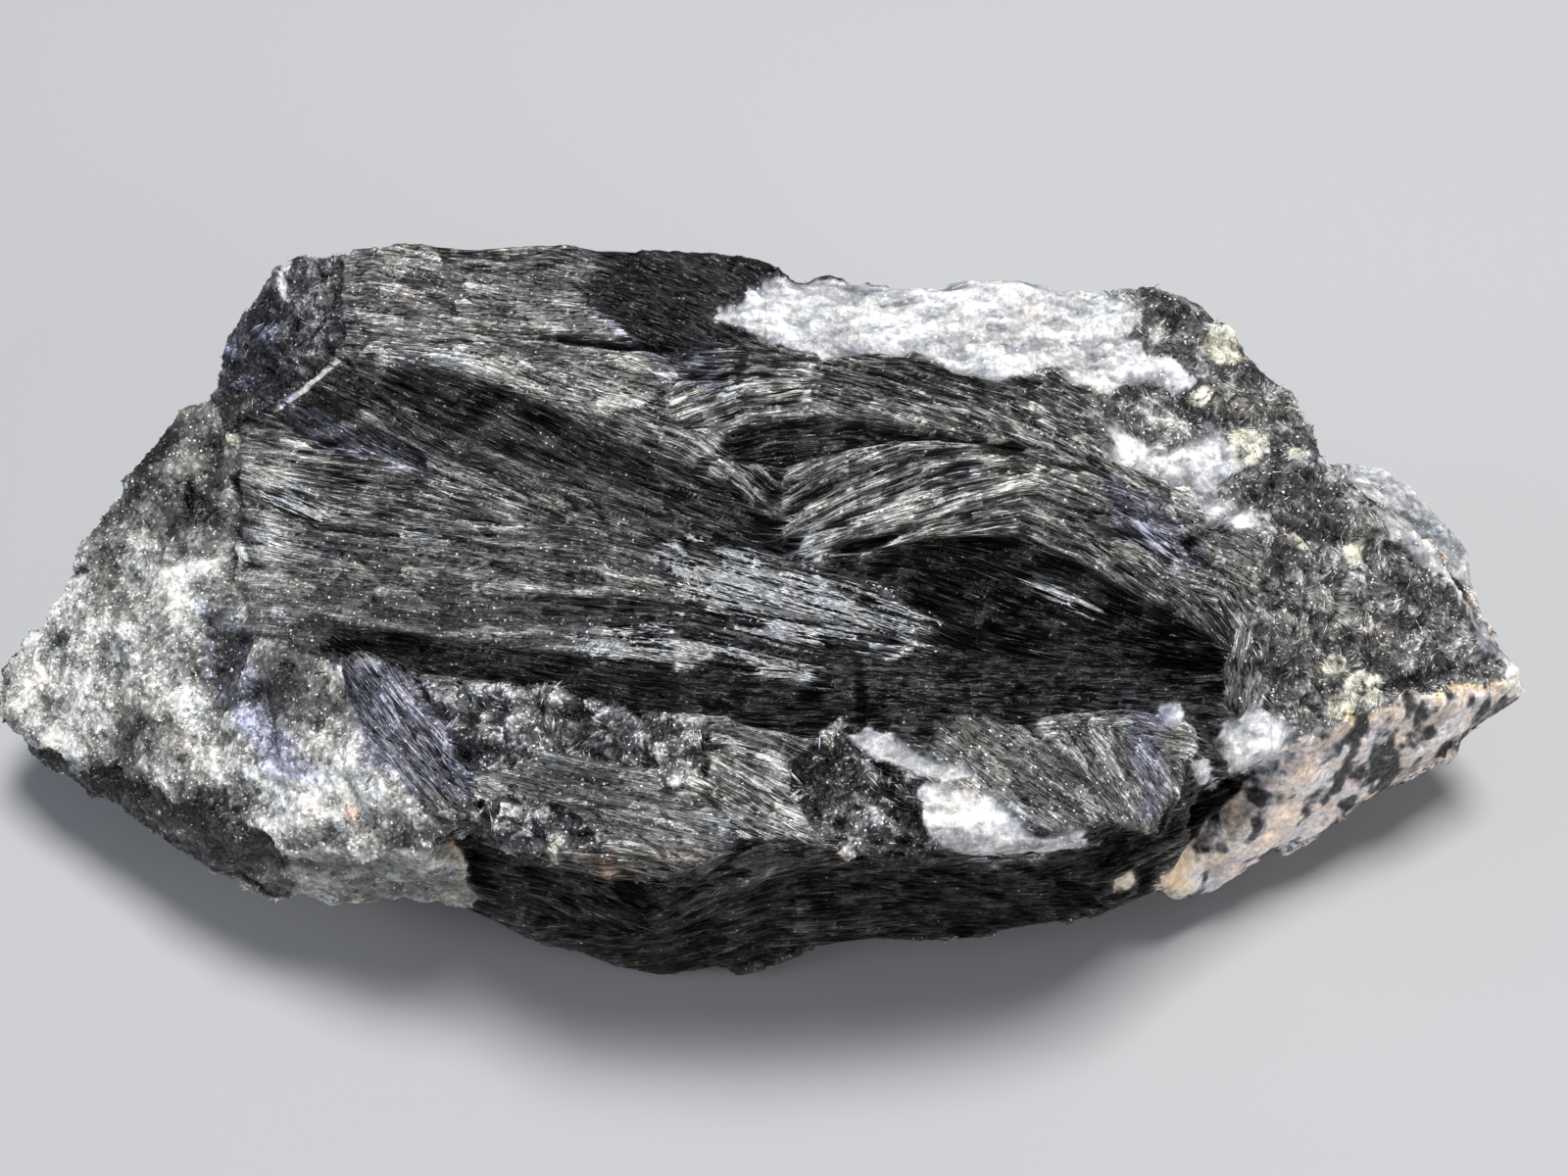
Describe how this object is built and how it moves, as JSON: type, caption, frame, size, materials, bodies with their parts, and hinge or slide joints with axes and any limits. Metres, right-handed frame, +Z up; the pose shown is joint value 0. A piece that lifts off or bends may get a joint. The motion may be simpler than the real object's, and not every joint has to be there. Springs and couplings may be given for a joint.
{
  "type": "ludwigite specimen",
  "caption": "Broken hand specimen of ludwigite: black silky fibres grown through white sugary marble, one rough wedge-ended rock that rests on a flat foot.",
  "frame": {"origin": "centre of the bounding box's bottom face, in the plane that the rock rests on", "axes": "+X runs along the rock to its granular right end, +Y to its back, +Z up; the broad fibrous face looks up and tilts to the front"},
  "size_m": [0.0954, 0.043, 0.0305],
  "materials": {
    "rock": "broken rock: black fibrous borate and grey to white marble in one body, silky in the fibre and sugary in the marble",
    "ludwigite": "black to greenish black splintery fibres with a silky, nearly metallic sheen along them",
    "calcite": "white, sparkling cleavage grains of calcite"
  },
  "bodies": {
    "root": {"specimen": "rock"}
  },
  "joints": []
}
